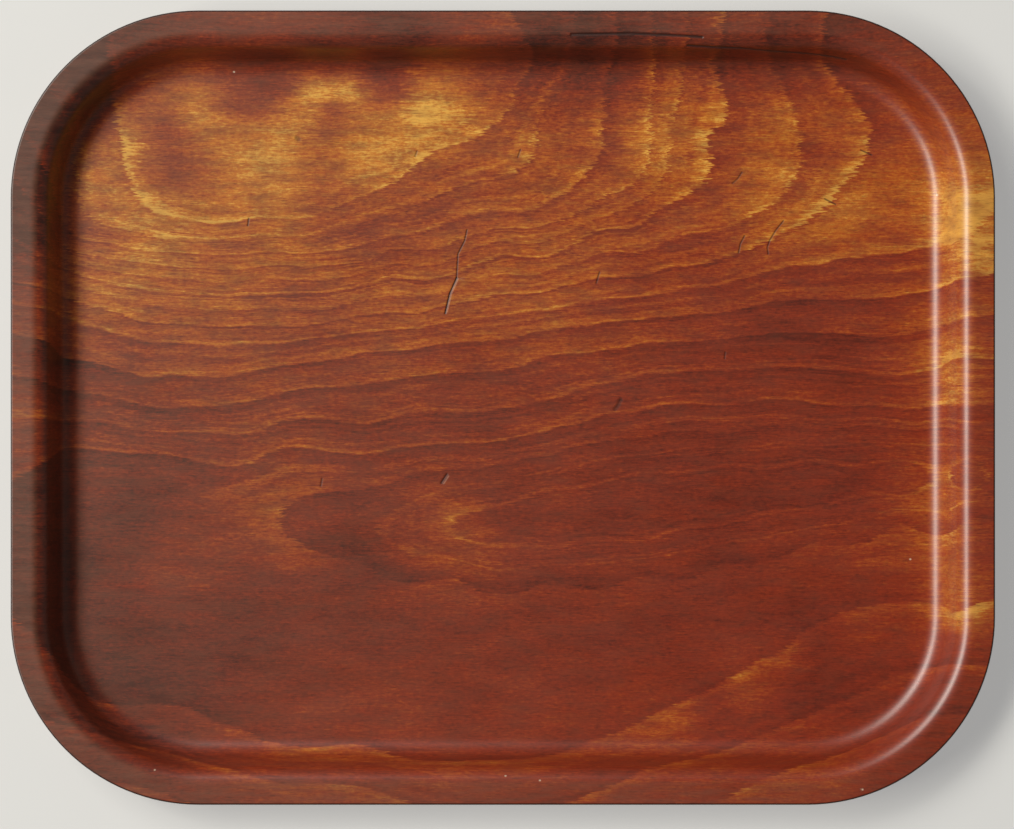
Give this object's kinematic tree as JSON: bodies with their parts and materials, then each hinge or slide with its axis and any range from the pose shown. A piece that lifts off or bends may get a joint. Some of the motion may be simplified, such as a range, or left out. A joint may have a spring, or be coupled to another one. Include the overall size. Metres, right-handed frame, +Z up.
{
  "type": "serving tray",
  "caption": "Rectangular moulded-plywood serving tray with wide round corners, a flat floor, a coved sloping wall and a flat rim.",
  "frame": {"origin": "centre of the flat underside, on the surface that the tray stands on", "axes": "+X along the length of the tray, +Y across its width, +Z up out of the recess"},
  "size_m": [0.43, 0.347, 0.023],
  "materials": {
    "face_veneer": "rotary-cut figured veneer, stained red-brown under clear satin lacquer",
    "inner_veneer": "plain rotary-cut veneer, unfinished, seen only at the trimmed edge",
    "back_veneer": "plain rotary-cut veneer, stained red-brown under clear satin lacquer",
    "glue_film": "cured phenolic glue film, dark red-brown"
  },
  "bodies": {
    "root": {"face_veneer": "face_veneer", "face_glue_film": "glue_film", "upper_crossband": "inner_veneer", "upper_core_glue_film": "glue_film", "core_veneer": "inner_veneer", "lower_core_glue_film": "glue_film", "lower_crossband": "inner_veneer", "back_glue_film": "glue_film", "back_veneer": "back_veneer"}
  },
  "joints": []
}
